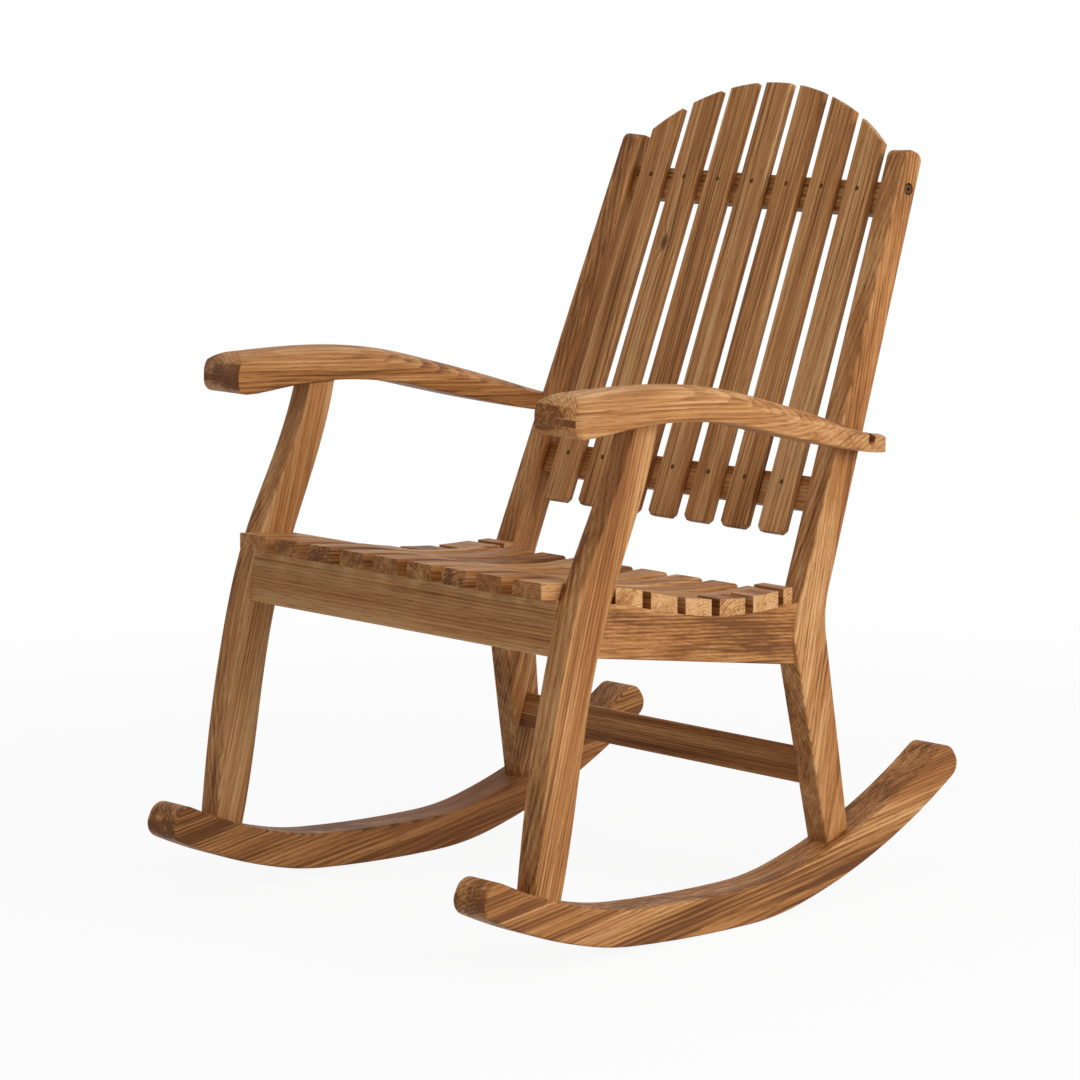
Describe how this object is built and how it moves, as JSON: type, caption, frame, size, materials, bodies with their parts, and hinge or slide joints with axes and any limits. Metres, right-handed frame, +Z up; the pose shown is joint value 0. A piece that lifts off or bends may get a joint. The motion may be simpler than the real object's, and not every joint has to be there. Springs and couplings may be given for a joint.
{
  "type": "rocking chair",
  "caption": "Wooden rocking adirondack chair with a fanned, arched slat back, dished slat seat, domed arms and two curved rockers.",
  "frame": {"origin": "middle of the chair's box, on the floor under the rockers", "axes": "+Z up, -Y the way the sitter faces, +X the side of the chair that is nearer in the picture"},
  "size_m": [0.6842, 0.854, 1.0301],
  "materials": {
    "wood": "oiled, satin",
    "fastener_steel": "bronzed, satin"
  },
  "bodies": {
    "root": {"arm_bolts": "fastener_steel", "arm_left": "wood", "arm_right": "wood", "arm_tenons": "wood", "back_slat_1": "wood", "back_slat_2": "wood", "back_slat_3": "wood", "back_slat_4": "wood", "back_slat_5": "wood", "back_slat_6": "wood", "back_slat_7": "wood", "back_slat_screws": "fastener_steel", "bearer_tenons": "wood", "cross_rail_tenons": "wood", "foot_tenons": "wood", "front_leg_left": "wood", "front_leg_right": "wood", "lower_back_rail": "wood", "post_bolts": "fastener_steel", "rear_leg_left": "wood", "rear_leg_right": "wood", "rear_stretcher": "wood", "rocker_left": "wood", "rocker_right": "wood", "seat_bearer_1": "wood", "seat_bearer_2": "wood", "seat_bearer_3": "wood", "seat_bearer_4": "wood", "seat_bearer_5": "wood", "seat_corner_block_left": "wood", "seat_corner_block_right": "wood", "seat_front_rail": "wood", "seat_rail_tenons": "wood", "seat_rear_rail": "wood", "seat_side_rail_left": "wood", "seat_side_rail_right": "wood", "seat_slat_1": "wood", "seat_slat_2": "wood", "seat_slat_3": "wood", "seat_slat_4": "wood", "seat_slat_5": "wood", "seat_slat_6": "wood", "seat_slat_7": "wood", "seat_slat_8": "wood", "seat_slat_9": "wood", "upper_back_rail": "wood"}
  },
  "joints": []
}
